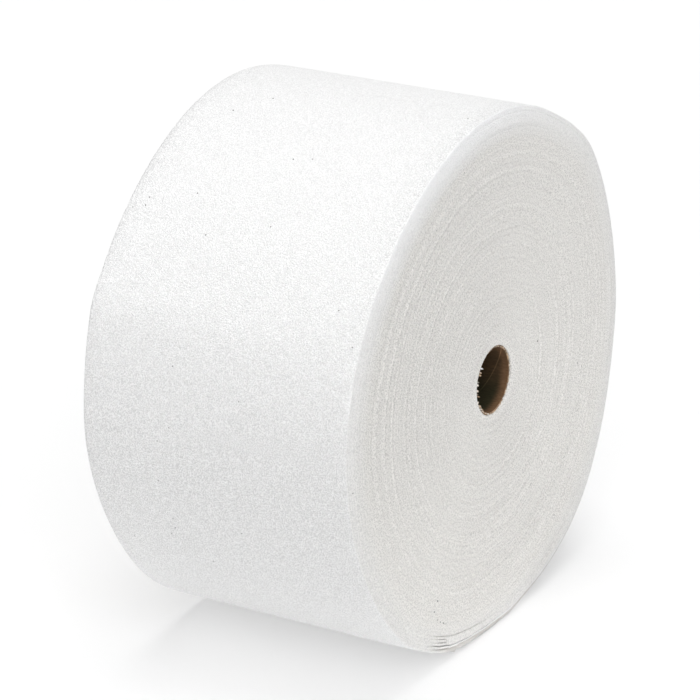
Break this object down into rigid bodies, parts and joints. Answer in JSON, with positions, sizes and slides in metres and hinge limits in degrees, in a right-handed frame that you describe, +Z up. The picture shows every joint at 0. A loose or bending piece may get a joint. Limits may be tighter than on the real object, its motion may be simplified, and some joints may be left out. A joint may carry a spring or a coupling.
{
  "type": "foam wrap roll",
  "caption": "Roll of soft white foam wrapping sheet wound on a hollow cardboard core, lying on its side on a small flat spot.",
  "frame": {"origin": "on the floor, under the middle of the roll's box", "axes": "+X along the core's axis towards the end with the loose turns, +Y across the roll, +Z up; the roll lies on its side"},
  "size_m": [0.316, 0.5954, 0.5834],
  "materials": {
    "foam_sheet": "matt closed-cell foam with a fine pebbled skin",
    "kraft_cardboard": "dull brown wound paper"
  },
  "bodies": {
    "root": {"foam_roll": "foam_sheet", "core_tube": "kraft_cardboard"}
  },
  "joints": []
}
